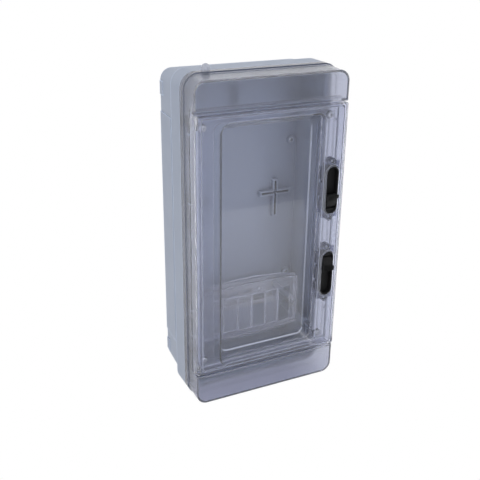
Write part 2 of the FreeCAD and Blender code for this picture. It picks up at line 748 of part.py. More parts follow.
def latch_lever(direction):
    """A wedge that a finger pulls at its step, rounded about its pivot, with a hook arm behind it. In front
    of the cup its tip widens to a tab that reaches over the cup's sides."""
    half_width = lever_width / 2
    half_tab = latch_width / 2 - tab_margin
    pivot = V(latch_x, at_depth(pivot_depth), latch_z(direction, pivot_offset))

    def side_face(left):
        """The lever's outline seen from the side, at a place across the box."""
        def place(offset, depth):
            return V(left, at_depth(depth), latch_z(direction, offset))

        front_reach = math.sqrt(pivot_swing_radius ** 2 - pivot_depth ** 2)
        diagonal = pivot_swing_radius * math.sqrt(0.5)
        start = place(pivot_offset - pivot_swing_radius, pivot_depth)
        middle = place(pivot_offset - diagonal, pivot_depth - diagonal)
        end = place(pivot_offset - front_reach, 0)
        nose_edge = place(lever_length, -lever_rise)
        lip = place(lever_length - lever_undercut, lever_lip)
        back = place(pivot_offset + hub_radius, pivot_depth)
        path = [end, nose_edge, lip, back, start]
        edges = [Part.Arc(start, middle, end).toShape()]
        edges += [Part.LineSegment(a, b).toShape() for a, b in zip(path, path[1:])]
        return Part.Face(Part.Wire(edges))

    wedge = side_face(latch_x - half_width).extrude(across * lever_width)
    tab_start = pivot_offset + tab_setback
    half_plan = [(half_width, tab_start), (half_tab, tab_start + tab_flare),
                 (half_tab, lever_length - tab_corner), (half_tab - tab_corner, lever_length)]
    plan = [V(latch_x + x, at_depth(-lever_rise), latch_z(direction, offset)) for x, offset in half_plan]
    plan += [V(latch_x - x, at_depth(-lever_rise), latch_z(direction, offset))
             for x, offset in reversed(half_plan)]
    tab = Part.Face(Part.makePolygon(plan + plan[:1])).extrude(inwards * (lever_rise - tab_gap))
    tab = tab.common(side_face(latch_x - half_tab).extrude(across * 2 * half_tab))

    hub_start = V(latch_x - half_width, pivot.y, pivot.z)
    hub = Part.makeCylinder(hub_radius, lever_width, hub_start, across)
    near = pivot_offset - arm_thickness / 2
    far = pivot_offset + arm_thickness / 2
    nose_start = arm_end_depth - nose_length
    arm_points = [(pivot_depth, far), (arm_end_depth, far), (arm_end_depth, near),
                  (nose_start + nose_reach, near - nose_reach), (nose_start, near - nose_reach),
                  (nose_start, near), (pivot_depth, near)]
    arm = side_profile([(depth, latch_z(direction, offset)) for depth, offset in arm_points],
                       latch_x - arm_width / 2, latch_x + arm_width / 2)
    bore = Part.makeCylinder(latch_pin_radius + pin_clearance, lever_width, hub_start, across)
    return fused([wedge, tab, hub, arm]).cut(bore)


def latch_frame_screws():
    """Screws that hold the two latch frames to the door's bosses, driven from behind."""
    head_y = at_depth(lug_depth)
    screws = []
    for direction in (1, -1):
        for z in frame_screw_heights(direction):
            head = rod(latch_x, z, frame_screw_head_radius, head_y, head_y + frame_screw_head_height)
            shank = rod(latch_x, z, frame_screw_radius, at_depth(2 * door_wall), head_y)
            screws.append(head.fuse(shank).removeSplitter())
    return Part.Compound(screws)


def din_rail():
    """A top-hat rail of bent sheet, standing off the back wall."""
    half_crown = rail_crown / 2
    half_width = rail_width / 2
    y_front = y_rail_back - rail_height
    web = block(-module_half_width, module_half_width, y_rail_back - rail_thickness, y_rail_back,
                module_z - half_crown, module_z + half_crown)
    pieces = [web]
    for side in (-1, 1):
        near = module_z + side * (half_crown - rail_thickness)
        far = module_z + side * half_crown
        tip = module_z + side * half_width
        low, high = sorted((near, far))
        pieces.append(block(-module_half_width, module_half_width, y_front, y_rail_back, low, high))
        low, high = sorted((near, tip))
        pieces.append(block(-module_half_width, module_half_width, y_front, y_front + rail_thickness,
                            low, high))
    rail = fused(pieces)
    return rail.cut([rod(x, module_z, rail_screw_radius, y_front, y_rail_back)
                     for x in (-rail_screw_x, rail_screw_x)])


def din_rail_screws():
    head_y = y_rail_back - rail_thickness
    return Part.Compound([screw(x, module_z, head_y, rail_screw_head_radius, rail_screw_head_height,
                                rail_screw_radius, y_back_wall) for x in (-rail_screw_x, rail_screw_x)])


def bulged_box(inset):
    """The breaker cover's form: bowed out in front and arched on top, shrunk by an inset."""
    half = cover_half_width - inset
    y_side = at_depth(cover_front_depth + cover_bulge + inset)
    y_mid = at_depth(cover_front_depth + inset)
    y_back = y_cover_post
    low_z = module_z - module_height / 2 - cover_bottom_margin + inset
    side_z = module_z + module_height / 2 + cover_top_margin - cover_top_arch - inset
    top_z = side_z + cover_top_arch
    plan = Part.Wire([
        Part.Arc(V(-half, y_side, low_z), V(0, y_mid, low_z), V(half, y_side, low_z)).toShape(),
        Part.LineSegment(V(half, y_side, low_z), V(half, y_back, low_z)).toShape(),
        Part.LineSegment(V(half, y_back, low_z), V(-half, y_back, low_z)).toShape(),
        Part.LineSegment(V(-half, y_back, low_z), V(-half, y_side, low_z)).toShape(),
    ])
    front = Part.Wire([
        Part.Arc(V(-half, y_mid, side_z), V(0, y_mid, top_z), V(half, y_mid, side_z)).toShape(),
        Part.LineSegment(V(half, y_mid, side_z), V(half, y_mid, low_z)).toShape(),
        Part.LineSegment(V(half, y_mid, low_z), V(-half, y_mid, low_z)).toShape(),
        Part.LineSegment(V(-half, y_mid, low_z), V(-half, y_mid, side_z)).toShape(),
    ])
    column = Part.Face(plan).extrude(upwards * (top_z - low_z))
    return column.common(Part.Face(front).extrude(inwards * (y_back - y_mid)))


def module_window(number, clearance):
    """The opening for one module, counted from the left, through the cover's front."""
    x = (number - (module_count + 1) / 2) * module_pitch
    half_width = (module_pitch - module_bar) / 2 - clearance
    half_height = module_height / 2 - clearance
    return block(x - half_width, x + half_width, at_depth(cover_front_depth), y_cover_post,
                 module_z - half_height, module_z + half_height)


def breaker_cover():
    """The clear inner cover over the module row, with one window for each module."""
    y_front = at_depth(cover_front_depth)
    outside = bulged_box(0)
    before_rear = [e for e in outside.Edges if e.BoundBox.YMin < y_cover_post - match_tolerance]
    outside = outside.makeFillet(cover_edge_radius, before_rear)
    shell = outside.cut(bulged_box(cover_wall))
    posts = [rod(x, module_z, cover_post_radius, y_front, y_cover_post).common(outside)
             for x in (-cover_screw_x, cover_screw_x)]
    cuts = [module_window(number, 0) for number in range(1, module_count + 1)]
    cuts += [rod(x, module_z, cover_screw_radius + screw_clearance, y_front, y_cover_post)
             for x in (-cover_screw_x, cover_screw_x)]
    cuts += [rod(x, module_z, cover_screw_head_radius + screw_clearance, y_front, y_cover_seat)
             for x in (-cover_screw_x, cover_screw_x)]
    return fused([shell] + posts).cut(cuts)


def breaker_cover_screws():
    return Part.Compound([screw(x, module_z, y_cover_seat, cover_screw_head_radius, cover_screw_head_height,
                                cover_screw_radius, y_cover_post + screw_bite)
                          for x in (-cover_screw_x, cover_screw_x)])


def module_blanks():
    """Clear snap-in plates that close the windows with no module behind them."""
    blanks = []
    skin = bulged_box(blank_setback).cut(bulged_box(blank_setback + blank_thickness))
    for number in range(1, module_count + 1):
        if module_row[(number - 1) % len(module_row)] == "blank":
            blanks.append(skin.common(module_window(number, blank_clearance)))
    return Part.Compound(blanks)


pieces = {
    "base_tub": base_tub(),
    "base_gasket": base_gasket(),
    "cover_frame": cover_frame(),
    "cover_screws": cover_screws(),
    "seal_stud": seal_stud(),
    "door_seal": door_seal(),
    "lower_hinge_pin": hinge_pin(pin_starts()[0]),
    "upper_hinge_pin": hinge_pin(pin_starts()[1]),
    "door": door(),
    "latch_frame_screws": latch_frame_screws(),
    "din_rail": din_rail(),
    "din_rail_screws": din_rail_screws(),
    "breaker_cover": breaker_cover(),
    "breaker_cover_screws": breaker_cover_screws(),
    "module_blanks": module_blanks(),
}
for name, direction in (("upper", 1), ("lower", -1)):
    pieces[name + "_latch_case"] = latch_case(direction)
    pieces[name + "_latch_frame"] = latch_frame(direction)
    pieces[name + "_latch_pin"] = latch_pin(direction)
    pieces[name + "_latch_lever"] = latch_lever(direction)

os.makedirs("parts", exist_ok=True)
for name, shape in pieces.items():
    shape.exportStep("parts/" + name + ".step")
    print(name, len(shape.Solids), round(shape.Volume / 1000, 2), shape.isValid())
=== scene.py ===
import json
import math

import bmesh
import bpy
from bpy.props import FloatProperty, FloatVectorProperty, PointerProperty
from mathutils import Matrix, Quaternion, Vector


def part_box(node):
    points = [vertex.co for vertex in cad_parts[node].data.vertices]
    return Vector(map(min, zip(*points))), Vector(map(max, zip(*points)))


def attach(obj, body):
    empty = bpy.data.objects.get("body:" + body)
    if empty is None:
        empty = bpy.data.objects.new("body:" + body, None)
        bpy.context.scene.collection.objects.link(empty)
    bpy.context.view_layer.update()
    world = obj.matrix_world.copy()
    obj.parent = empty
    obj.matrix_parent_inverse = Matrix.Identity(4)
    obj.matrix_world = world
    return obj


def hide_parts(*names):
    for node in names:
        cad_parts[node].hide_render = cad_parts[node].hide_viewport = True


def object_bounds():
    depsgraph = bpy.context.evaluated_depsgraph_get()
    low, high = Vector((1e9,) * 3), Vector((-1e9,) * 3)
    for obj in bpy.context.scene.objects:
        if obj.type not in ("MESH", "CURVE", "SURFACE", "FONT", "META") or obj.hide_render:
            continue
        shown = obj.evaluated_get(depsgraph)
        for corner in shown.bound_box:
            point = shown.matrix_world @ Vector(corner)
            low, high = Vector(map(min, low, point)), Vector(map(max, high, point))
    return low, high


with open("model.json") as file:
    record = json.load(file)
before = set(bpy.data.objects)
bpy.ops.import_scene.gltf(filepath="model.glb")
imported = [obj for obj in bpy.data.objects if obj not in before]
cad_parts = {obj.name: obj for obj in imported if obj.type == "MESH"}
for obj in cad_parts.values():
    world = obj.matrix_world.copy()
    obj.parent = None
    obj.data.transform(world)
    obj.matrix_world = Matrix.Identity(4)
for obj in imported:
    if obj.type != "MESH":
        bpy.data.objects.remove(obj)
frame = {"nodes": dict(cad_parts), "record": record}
cad_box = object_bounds()

bl_info = {
    "name": "Electric meter box",
    "version": (1, 0, 0),
    "blender": (4, 5, 0),
    "location": "3D View > Sidebar > Meter box",
    "description": "Dresses the packed meter box with its frosted cover, latches, screws and rail",
    "category": "Object",
}

nodes = frame["nodes"]
slot_of = {part["node"]: part["material_slot"] for part in frame["record"]["subparts"]}
behaviour = frame["record"]["behaviour"]
body_of = {node: body for body, members in behaviour["bodies"].items() for node in members}
pivot_of = {joint["child"]: Vector(joint["pos_m"]) for joint in behaviour["joints"]}

# Noise in the mouldings: its scale and detail, and the values that are stretched to the full range
NOISE_DETAIL = 4.0
NOISE_ROUGHNESS = 0.55
TONE_SCALE = 16.0
TONE_RANGE = (0.3, 0.7)
MARKS_SCALE = 60.0
MARKS_DETAIL = 6.0
MARKS_RANGE = (0.35, 0.75)
GRAIN_SCALE = 1400.0
GRAIN_DETAIL = 2.0
WAVES_SCALE = 11.0
WAVES_DETAIL = 1.0

# What that noise does to the finishes
MARKS_ROUGHNESS = 0.08
BASE_TONE = 0.02
CLEAR_TONE = 0.02
CLEAR_HAZE = 0.03
ZINC_CLOUD = 0.82
ZINC_ROUGHNESS = (0.28, 0.42)
GRAIN_STRENGTH = 0.2
WAVES_STRENGTH = 0.02
WAVES_HEIGHT = 0.002

# How the shaders find the edges, hollows and slopes where highlights, shade and glow are painted
SHADER_SAMPLES = 6
EDGE_RANGE = (0.75, 0.98)
CAVITY_RANGE = (0.2, 0.7)
CORNER_RANGE = (0.3, 0.95)
# Painted highlight: the line at the dish's floor glows most on slopes facing up and a little to the left
PAINTED_LINE_FROM = (-0.3, 0.0, 0.95)
PAINTED_LINE_RANGE = (0.03, 0.5)

# Meshes: corners closer than the first length are one, and the second tells what lies in a plane
MERGE_DISTANCE = 1e-6
PLANE_TOLERANCE = 1e-7
PLACE_DIGITS = 6
SHARP_DEGREES = 35.0
ROUNDED_DEGREES = 30.0
CYLINDER_SEGMENTS = 32
SPIN_STEPS = 24
THREAD_STEPS = 18
SLOT_STEPS = 8
WEDGE_STEPS = 10
BEND_SEGMENTS = 2

# Screw head, in shares of its radius
HEAD_HEIGHT = 0.58
CROSS_HALF_WIDTH = 0.13
CROSS_ARM = 0.5

# Screw head, in shares of its height
CROSS_DEPTH = 0.6
DOME_INSET = 0.14
DOME_RISE = 0.2
RIM_RISE = 0.5

# Width of the cross recess at its floor, in shares of its mouth
CROSS_TAPER = 0.55

# Screw thread, in shares of its radius, then of the core under it, then of its pitch
CORE_RADIUS = 0.84
THREAD_PITCH = 0.7
THREAD_ROOT = 0.97
TIP_RADIUS = 0.2
RIDGE_WIDTH = 0.9

# Rounding of the rail's bends, in shares of its sheet
BEND_ROUND = 0.3

# Floor: its extent and finish, and the painted shadow near the box and painted shade far behind it, which
# show only through the clear plastic
WHITE = (1.0, 1.0, 1.0)
FLOOR_SIDE = 3.0
FLOOR_BACK = 3.0
FLOOR_GAP = 0.0005
FLOOR_SCALE = 3.0
FLOOR_TONE = (0.84, 0.88)
FLOOR_ROUGHNESS = 0.8
PAINTED_SHADOW_CENTRE = (-0.10, -0.12)
PAINTED_SHADOW_NEAR = (0.15, 0.26)
PAINTED_SHADE_FAR = (1.2, 2.0)
PAINTED_SHADE_FAR_SHARE = 0.45
PAINTED_SHADOW_TINT = (0.33, 0.335, 0.42)

# Surround: the tint of its even light, and the dark part that shows in reflections, by direction
SKY_TINT = (0.95, 0.97, 1.0)
DARK_BELOW = (-0.24, -0.06)
DARK_RIGHT = (0.38, 0.48)
DARK_LEFT_SHARE = 0.8

# Width of the camera's sensor in millimetres, and where the lamps point
SENSOR_WIDTH = 36.0
LAMP_TARGET = (0, -0.05, 0)
LOW_TARGET = (0, -0.05, -0.12)


def colour(name, description, default):
    return FloatVectorProperty(name=name, description=description, default=default, subtype="COLOR",
                               min=0.0, max=1.0, size=3)


def amount(name, description, default):
    return FloatProperty(name=name, description=description, default=default, min=0.0)


def length(name, description, default):
    return FloatProperty(name=name, description=description, default=default, unit="LENGTH", precision=5)


def angle(name, description, degrees):
    return FloatProperty(name=name, description=description, default=math.radians(degrees), subtype="ANGLE")


def position(name, description, default):
    return FloatVectorProperty(name=name, description=description, default=default, subtype="TRANSLATION",
                               size=3)


class MeterBoxFinish(bpy.types.PropertyGroup):
    """Colours and surface finish of the box's materials, and the painted highlights, shade and glow put on
    them.
    """
    base_grey: colour("Base grey", "Moulded base", (0.465, 0.522, 0.645))
    clear_tint: colour("Clear tint", "Tint of the clear cover and door", (0.87, 0.887, 0.965))
    window_tint: colour("Window tint", "Tint of the door's polished window", (0.90, 0.912, 0.975))
    frame_tint: colour("Frame tint", "Tint of the smoky frames that clamp the latches", (0.32, 0.35, 0.50))
    # Painted glow: colour of the light put on the clear plastic's sharp edges
    painted_glow_tint: colour("Edge tint", "Light piped to the clear plastic's edges", (0.80, 0.85, 1.0))
    latch_black: colour("Latch black", "Moulded latch parts", (0.014, 0.014, 0.015))
    seal_grey: colour("Seal grey", "Gasket and door seal", (0.60, 0.63, 0.72))
    zinc: colour("Zinc", "Plated rail, screws and pins", (0.62, 0.63, 0.66))
    base_roughness: amount("Base roughness", "Roughness of the base", 0.42)
    latch_roughness: amount("Latch roughness", "Roughness of the latch parts", 0.46)
    seal_roughness: amount("Seal roughness", "Roughness of the seals", 0.68)
    opaque_sheen: amount("Opaque sheen", "Sheen of the latch parts and seals", 0.15)
    latch_tone: amount("Latch tone", "How much the tone of the latch parts varies", 0.1)
    seal_tone: amount("Seal tone", "How much the tone of the seals varies", 0.06)
    fine_grain: length("Fine grain", "Depth of the texture of the base and latch parts", 0.0002)
    seal_grain: length("Seal grain", "Depth of the seals' texture", 0.0003)
    # Painted highlight: the base's sharp edges are made paler, over the width given below
    painted_edge_highlight: amount("Edge light", "How much paler the base's sharp edges are", 2.2)
    base_edge: length("Base edge", "Width of the base's pale edges", 0.0011)
    # Painted shade: the base's narrow slots are darkened, within the reach given below
    painted_slot_shade: amount("Cavity dark", "How much darker the base's narrow slots are", 0.9)
    cavity_reach: length("Cavity reach", "How far a slot's walls darken it", 0.0045)
    # Painted shade: the base's inner corners are darkened, within the reach given below
    painted_corner_shade: amount("Corner dark", "How much darker the base's inner corners are", 0.35)
    corner_reach: length("Corner reach", "How far the base's walls darken its corners", 0.06)
    # Painted glow: the base's back faces emit its own colour, in place of light reaching the rim under the
    # clear flange
    painted_backface_glow: amount("Inner glow", "Light that reaches the base's rim through the flange on it", 0.5)
    # Painted glow: emission put on the clear plastic's sharp edges, over the width given below
    painted_edge_glow: amount("Edge glow", "Light that the clear plastic pipes to its sharp edges", 0.35)
    clear_edge: length("Clear edge", "Width of the clear plastic's bright edges", 0.0008)
    milkiness: amount("Milkiness", "Share of light that the clear plastic scatters", 0.065)
    inner_milkiness: amount("Inner milkiness", "Share of light that the breaker cover scatters", 0.13)
    # Painted glow on the breaker cover's sharp edges
    inner_painted_edge_glow: amount("Inner edge glow", "Light that the breaker cover pipes to its edges", 0.2)
    stud_milkiness: amount("Stud milkiness", "Share of light that the thick seal stud scatters", 0.45)
    frost: amount("Frost", "Roughness of the cover's moulded texture", 0.22)
    door_frost: amount("Door frost", "Roughness of the door's texture round its window", 0.13)
    polish: amount("Polish", "Roughness of the polished window", 0.02)
    frosted_ior: amount("Frosted index", "Refraction of the textured plastic, softened by its texture", 1.36)
    polished_ior: amount("Polished index", "Refraction of the polished window", 1.52)


class MeterBoxSizes(bpy.types.PropertyGroup):
    """Sizes that the pieces need beside the boxes of the CAD nodes that they stand for."""
    dish_left: length("Dish left", "From the door's hinge edge to its dish", 0.0296)
    dish_right: length("Dish right", "From the dish to the door's latch edge", 0.0256)
    dish_bottom: length("Dish bottom", "From the door's lower edge to its dish", 0.0054)
    dish_top: length("Dish top", "From the dish to the door's upper edge", 0.0106)
    dish_radius: length("Dish radius", "Corner radius of the dish", 0.0100)
    dish_slope_x: length("Dish slope, sides", "How far the dish's side walls slope in", 0.0080)
    dish_slope_z: length("Dish slope, ends", "How far the dish's end walls slope in", 0.0086)
    dish_depth: length("Dish depth", "From the latch rims' front to the dish's floor", 0.0198)
    floor_radius: length("Floor radius", "Corner radius of the dish's floor", 0.0070)
    window_softness: length("Window softness", "Half the width over which the window's edge blends", 0.0004)
    # Painted highlight: the bright line at the dish's floor is glow put on the door's material
    line_fade: length("Line fade", "How far the bright line at the dish's floor fades out", 0.0012)
    line_rise: length("Line rise", "How far that line goes up the dish's walls", 0.0016)
    pin_round: length("Pin rounding", "Rounding of a pin's ends", 0.0003)
    cover_head: length("Cover screw head", "Head radius of the cover's screws", 0.0038)
    cover_shank: length("Cover screw shank", "Thread radius of the cover's screws", 0.0020)
    inner_head: length("Inner screw head", "Head radius of the breaker cover's screws", 0.0030)
    inner_shank: length("Inner screw shank", "Thread radius of the breaker cover's screws", 0.0017)
    rail_head: length("Rail screw head", "Head radius of the rail's screws", 0.0036)
    rail_shank: length("Rail screw shank", "Thread radius of the rail's screws", 0.0020)
    clamp_head: length("Clamp screw head", "Head radius of the latch frames' screws", 0.0029)
    clamp_shank: length("Clamp screw shank", "Thread radius of the latch frames' screws", 0.0012)
    clamp_lug: length("Clamp lug", "Radius of the lugs that the latch frames' screws go through", 0.0040)
    thread_length: length("Thread length", "Longest threaded part of a screw", 0.0140)
    rail_sheet: length("Rail sheet", "Thickness of the rail's sheet", 0.0010)
    rail_crown: length("Rail crown", "Width of the rail's channel", 0.0250)
    rail_screw: length("Rail screw place", "From the rail's middle to its screws", 0.0360)
    slot_pitch: length("Slot pitch", "From slot to slot in the rail", 0.0180)
    slot_length: length("Slot length", "Length of a slot in the rail", 0.0120)
    slot_width: length("Slot width", "Width of a slot in the rail", 0.0052)
    lever_round: length("Lever rounding", "Rounding of a lever's edges", 0.0005)
    lever_lip: length("Lever lip", "How far a lever's step goes down behind the face", 0.0032)
    lever_undercut: length("Lever undercut", "How far a lever's step leans back", 0.0010)
    tab_overhang: length("Tab overhang", "How far a lever's tab reaches past its side", 0.0017)
    tab_gap: length("Tab gap", "From the latch cup's front to the tab", 0.0003)
    tab_setback: length("Tab setback", "From a lever's pivot to its tab", 0.0026)
    tab_flare: length("Tab flare", "Length over which the tab widens", 0.0025)
    tab_corner: length("Tab corner", "Cut-off at the tab's corners", 0.0016)
    hub_radius: length("Hub radius", "Radius of a lever's hub", 0.0028)
    arm_width: length("Arm width", "Width of a lever's hook arm", 0.0060)
    arm_thickness: length("Arm thickness", "Thickness of a lever's hook arm", 0.0030)
    hook_reach: length("Hook reach", "How far a hook stands out from its arm", 0.0015)
    hook_length: length("Hook length", "Length of the hook's lead-in", 0.0025)


class MeterBoxStudio(bpy.types.PropertyGroup):
    """The camera's place, the floor and the lamps."""
    camera_yaw: angle("Camera yaw", "Turn of the view about the upright axis", -26.13)
    camera_pitch: angle("Camera pitch", "How far the camera looks down", 23.1)
    camera_roll: angle("Camera roll", "Turn about the view axis", 0.78)
    camera_place: position("Camera place", "Where the camera stands", (-0.3557, -0.7490, 0.3204))
    lens: amount("Lens", "Focal length in millimetres on a 36 mm sensor", 55.49)
    table_front: length("Table front", "How far the white floor runs out in front of the wall plane", 0.62)
    world_light: amount("World light", "Strength of the even light from all round", 0.42)
    key_light: amount("Key light", "Power of the large lamp above the left", 4.6)
    key_place: position("Key place", "Where the large lamp hangs", (-0.9, -0.5, 1.1))
    key_size: length("Key size", "Width of the large lamp", 0.9)
    fill_light: amount("Fill light", "Power of the lamp at the right", 2.2)
    fill_place: position("Fill place", "Where the lamp at the right hangs", (1.2, -0.5, 0.85))
    fill_size: length("Fill size", "Width of the lamp at the right", 0.6)
    low_light: amount("Low light", "Power of the low lamp in front", 1.3)
    low_place: position("Low place", "Where the low lamp stands", (-0.1, -0.9, -0.1))
    low_size: length("Low size", "Width of the low lamp", 0.5)


def link(tree, source, target):
    tree.links.new(source, target)


def feed(tree, operand, socket):
    """Gives an input its operand, which is a socket or a constant."""
    if isinstance(operand, bpy.types.NodeSocket):
        link(tree, operand, socket)
    else:
        socket.default_value = operand


def noise(tree, coordinates, scale, detail=NOISE_DETAIL):
    texture = tree.nodes.new("ShaderNodeTexNoise")
    texture.inputs["Scale"].default_value = scale
    texture.inputs["Detail"].default_value = detail
    texture.inputs["Roughness"].default_value = NOISE_ROUGHNESS
    link(tree, coordinates, texture.inputs["Vector"])
    return texture.outputs["Fac"]


def remap(tree, value, low, high, out_low, out_high):
    node = tree.nodes.new("ShaderNodeMapRange")
    node.inputs["From Min"].default_value = low
    node.inputs["From Max"].default_value = high
    node.inputs["To Min"].default_value = out_low
    node.inputs["To Max"].default_value = out_high
    link(tree, value, node.inputs["Value"])
    return node.outputs["Result"]


def vector_step(tree, operation, *operands):
    node = tree.nodes.new("ShaderNodeVectorMath")
    node.operation = operation
    for operand, socket in zip(operands, node.inputs):
        feed(tree, operand, socket)
    return node


def value_step(tree, operation, *operands):
    node = tree.nodes.new("ShaderNodeMath")
    node.operation = operation
    for operand, socket in zip(operands, node.inputs):
        feed(tree, operand, socket)
    return node.outputs["Value"]


def scaled(tree, tint, factor):
    node = vector_step(tree, "SCALE", tuple(tint))
    link(tree, factor, node.inputs["Scale"])
    return node.outputs["Vector"]


def blended(tree, factor, first, second):
    """The first vector where the factor is nought and the second where it is one."""
    node = tree.nodes.new("ShaderNodeMix")
    node.data_type = "VECTOR"
    sockets = {socket.identifier: socket for socket in (*node.inputs, *node.outputs)}
    for operand, name in ((factor, "Factor_Float"), (first, "A_Vector"), (second, "B_Vector")):
        feed(tree, operand, sockets[name])
    return sockets["Result_Vector"]


def mixed_shaders(tree, factor, first, second):
    node = tree.nodes.new("ShaderNodeMixShader")
    for source, socket in zip((factor, first, second), node.inputs):
        link(tree, source, socket)
    return node.outputs["Shader"]


def axis_of(tree, vector, axis):
    split = tree.nodes.new("ShaderNodeSeparateXYZ")
    link(tree, vector, split.inputs["Vector"])
    return split.outputs[axis]


def new_group(name, outputs):
    """A shader node group that takes object coordinates and gives the named values."""
    group = bpy.data.node_groups.new(name, "ShaderNodeTree")
    group.interface.new_socket(name="Vector", in_out="INPUT", socket_type="NodeSocketVector")
    for output in outputs:
        group.interface.new_socket(name=output, in_out="OUTPUT", socket_type="NodeSocketFloat")
    entry = group.nodes.new("NodeGroupInput")
    result = group.nodes.new("NodeGroupOutput")
    return group, entry.outputs["Vector"], result.inputs


def moulding_group():
    """Slow tone, handling marks, spark-eroded grain and slow waves that the finishes share."""
    group, place, results = new_group("moulding", ("Tone", "Marks", "Grain", "Waves"))
    tone = noise(group, place, TONE_SCALE)
    marks = noise(group, place, MARKS_SCALE, MARKS_DETAIL)
    link(group, remap(group, tone, *TONE_RANGE, -1.0, 1.0), results["Tone"])
    link(group, remap(group, marks, *MARKS_RANGE, 0.0, 1.0), results["Marks"])
    link(group, noise(group, place, GRAIN_SCALE, GRAIN_DETAIL), results["Grain"])
    link(group, noise(group, place, WAVES_SCALE, WAVES_DETAIL), results["Waves"])
    return group


def distance_outside(tree, place, low, high):
    """How far a place is outside an upright box, seen from the front."""
    flat = vector_step(tree, "MULTIPLY", place, (1, 0, 1)).outputs["Vector"]
    offset = vector_step(tree, "SUBTRACT", flat, tuple((low + high) / 2)).outputs["Vector"]
    spread = vector_step(tree, "ABSOLUTE", offset).outputs["Vector"]
    beyond = vector_step(tree, "SUBTRACT", spread, tuple((high - low) / 2)).outputs["Vector"]
    outside = vector_step(tree, "MAXIMUM", beyond, (0, 0, 0)).outputs["Vector"]
    return vector_step(tree, "LENGTH", outside).outputs["Value"]


def window_group(sizes):
    """Two masks of the door: the inside of its dished window, and the line where the dish's floor ends,
    where a painted highlight goes.
    """
    group, place, results = new_group("window", ("Inside", "Floor edge"))
    door_low, door_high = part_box("door")
    soft = sizes.window_softness
    rim = sizes.dish_radius
    radius = Vector((rim, 0, rim))
    dish_low = Vector((door_low.x + sizes.dish_left, 0, door_low.z + sizes.dish_bottom))
    dish_high = Vector((door_high.x - sizes.dish_right, 0, door_high.z - sizes.dish_top))
    from_dish = distance_outside(group, place, dish_low + radius, dish_high - radius)
    link(group, remap(group, from_dish, rim - soft, rim + soft, 1.0, 0.0), results["Inside"])
    slope = Vector((sizes.dish_slope_x, 0, sizes.dish_slope_z))
    corner = Vector((sizes.floor_radius, 0, sizes.floor_radius))
    from_floor = distance_outside(group, place, dish_low + slope + corner, dish_high - slope - corner)
    miss = value_step(group, "ABSOLUTE", value_step(group, "SUBTRACT", from_floor, sizes.floor_radius))
    near = remap(group, miss, soft, sizes.line_fade, 1.0, 0.0)
    line_y = door_low.y + sizes.dish_depth - sizes.line_rise
    deep = remap(group, axis_of(group, place, "Y"), line_y - soft, line_y, 0.0, 1.0)
    link(group, value_step(group, "MULTIPLY", near, deep), results["Floor edge"])
    return group


def use_group(tree, group, coordinates):
    node = tree.nodes.new("ShaderNodeGroup")
    node.node_tree = group
    link(tree, coordinates, node.inputs["Vector"])
    return node.outputs


def new_material(name):
    material = bpy.data.materials.new(name)
    material.use_nodes = True
    tree = material.node_tree
    shader = tree.nodes["Principled BSDF"]
    coordinates = tree.nodes.new("ShaderNodeTexCoord").outputs["Object"]
    return material, tree, shader, coordinates


def add_bump(tree, shader, height, strength, distance):
    bump = tree.nodes.new("ShaderNodeBump")
    bump.inputs["Strength"].default_value = strength
    bump.inputs["Distance"].default_value = distance
    link(tree, height, bump.inputs["Height"])
    link(tree, bump.outputs["Normal"], shader.inputs["Normal"])


def marked_roughness(tree, shader, effects, roughness):
    """Sets a roughness that grows where handling has marked the surface."""
    marked = remap(tree, effects["Marks"], 0.0, 1.0, roughness, roughness + MARKS_ROUGHNESS)
    link(tree, marked, shader.inputs["Roughness"])


def moulded_plastic(name, moulding, tint, sheen, roughness, tone_change, grain_depth):
    """Opaque moulded plastic with a fine grain, a slow change of tone and faint handling marks."""
    material, tree, shader, coordinates = new_material(name)
    effects = use_group(tree, moulding, coordinates)
    tone = remap(tree, effects["Tone"], -1.0, 1.0, 1.0 - tone_change, 1.0 + tone_change)
    link(tree, scaled(tree, tint, tone), shader.inputs["Base Color"])
    marked_roughness(tree, shader, effects, roughness)
    shader.inputs["Specular IOR Level"].default_value = sheen
    add_bump(tree, shader, effects["Grain"], GRAIN_STRENGTH, grain_depth)
    return material


def edge_mask(tree, radius, away, on_edge):
    """A value for places away from sharp edges that turns to another within a radius of them."""
    rounded = tree.nodes.new("ShaderNodeBevel")
    rounded.samples = SHADER_SAMPLES
    rounded.inputs["Radius"].default_value = radius
    true_normal = tree.nodes.new("ShaderNodeNewGeometry").outputs["Normal"]
    likeness = vector_step(tree, "DOT_PRODUCT", rounded.outputs["Normal"], true_normal).outputs["Value"]
    return remap(tree, value_step(tree, "ABSOLUTE", likeness), *EDGE_RANGE, on_edge, away)


def openness(tree, distance):
    """One where nothing of the same piece is near, and less in slots and corners."""
    hollow = tree.nodes.new("ShaderNodeAmbientOcclusion")
    hollow.samples = SHADER_SAMPLES
    hollow.only_local = True
    hollow.inputs["Distance"].default_value = distance
    return hollow.outputs["AO"]


